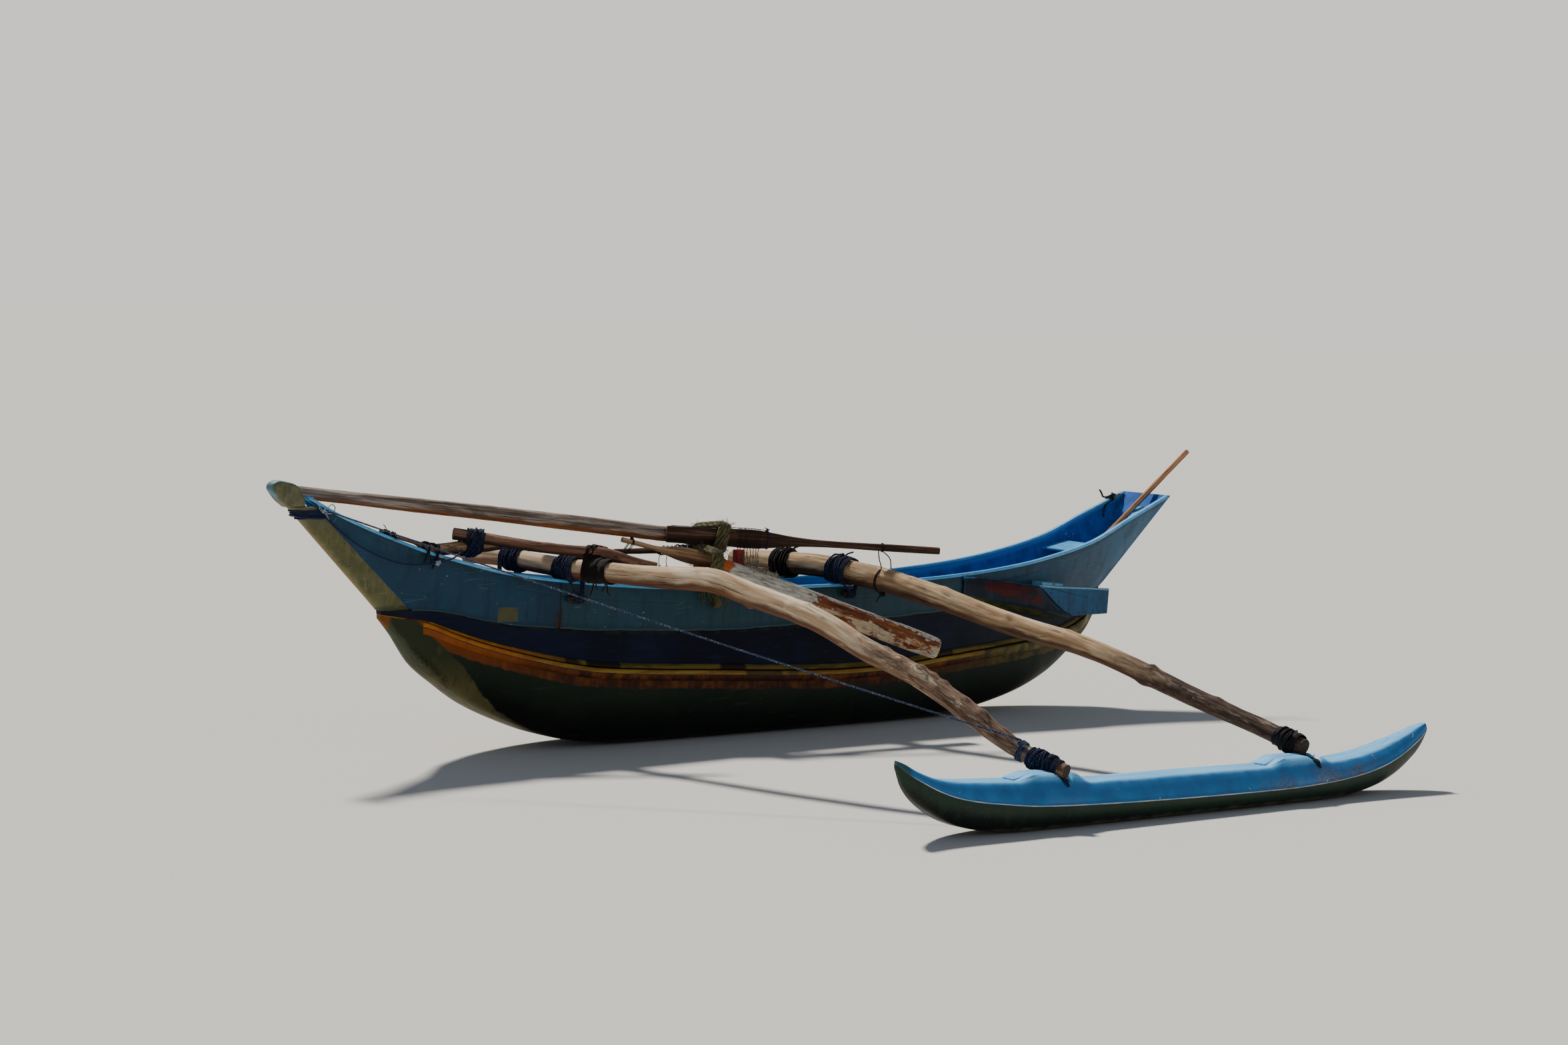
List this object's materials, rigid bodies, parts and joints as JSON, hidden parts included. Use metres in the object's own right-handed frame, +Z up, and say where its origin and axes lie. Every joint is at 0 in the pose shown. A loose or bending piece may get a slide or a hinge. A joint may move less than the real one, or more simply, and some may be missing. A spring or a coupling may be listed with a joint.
{
  "type": "outrigger canoe",
  "caption": "Beached fishing canoe with a narrow moulded hull and high raked ends, held upright by a side float on driftwood booms lashed across the gunwales.",
  "frame": {"origin": "on the flat keel sole amidships, at the level of the ground it stands on", "axes": "+X along the keel to the bow, +Y to port, where the float is, +Z up"},
  "size_m": [6.1834, 3.6273, 1.4431],
  "materials": {
    "hull_bottom_paint": "worn dark green and black bottom paint over glass fibre, navy and yellow bands above",
    "rail_paint": "weathered orange paint",
    "topside_paint": "light blue gel coat, scuffed",
    "gunwale_paint": "bright blue paint",
    "stem_paint": "faded yellow-olive paint",
    "head_paint": "olive paint with grey blue top",
    "board_paint": "light blue paint",
    "fairing_paint": "dark navy paint with a faded red patch",
    "seat_paint": "pale blue paint, worn",
    "float_bottom_paint": "dark green bottom paint",
    "float_deck_paint": "light blue paint with a white flange edge",
    "driftwood_light": "bleached bare driftwood",
    "driftwood_dark": "bleached driftwood with dark bark at the outer end",
    "branch_wood": "bare branch",
    "pole_wood": "weathered round pole",
    "oar_wood": "dark weathered wood",
    "peeling_board": "white paint peeling over rust-brown wood",
    "red_paint": "worn red paint on wood",
    "blue_rope": "dark blue twisted rope",
    "dark_rope": "black and brown rope and cloth",
    "coir_rope": "rough coir fibre rope",
    "toggle_wood": "dark wooden toggle peg"
  },
  "bodies": {
    "root": {"lower_hull": "hull_bottom_paint", "rub_rail_port": "rail_paint", "rub_rail_starboard": "rail_paint", "bow_topside_port": "topside_paint", "bow_topside_starboard": "topside_paint", "mid_topside_port": "topside_paint", "mid_topside_starboard": "topside_paint", "stern_topside_port": "topside_paint", "stern_topside_starboard": "topside_paint", "gunwale_port": "gunwale_paint", "gunwale_starboard": "gunwale_paint", "transom": "topside_paint", "stem_post": "stem_paint", "bow_head": "head_paint", "bow_band": "blue_rope", "stern_seat": "seat_paint", "mid_thwart": "seat_paint", "bow_thwart": "seat_paint", "stern_plate": "seat_paint", "bracket_board": "board_paint", "bracket_fairing": "fairing_paint", "bracket_pad": "board_paint", "float_hull": "float_bottom_paint", "float_deck": "float_deck_paint", "float_saddle_front": "float_deck_paint", "float_saddle_rear": "float_deck_paint", "front_boom": "driftwood_light", "rear_boom": "driftwood_dark", "front_boom_lashing_far": "blue_rope", "front_boom_lashing_near": "blue_rope", "rear_boom_lashing_far": "dark_rope", "rear_boom_lashing_near": "blue_rope", "brace_wrap": "dark_rope", "float_lashing_front": "blue_rope", "float_lashing_rear": "dark_rope", "toggle_front": "toggle_wood", "toggle_rear": "toggle_wood", "toggle_mid": "toggle_wood", "bow_branch": "branch_wood", "brace_pole": "pole_wood", "mast_pole": "pole_wood", "tied_stick": "oar_wood", "stern_pole": "pole_wood", "oar": "oar_wood", "paddle": "branch_wood", "steering_board": "peeling_board", "red_post": "red_paint", "coir_lashing_oar": "coir_rope", "coir_lashing_paddle": "coir_rope", "bow_stay": "blue_rope", "bow_slack_line": "blue_rope"}
  },
  "joints": []
}
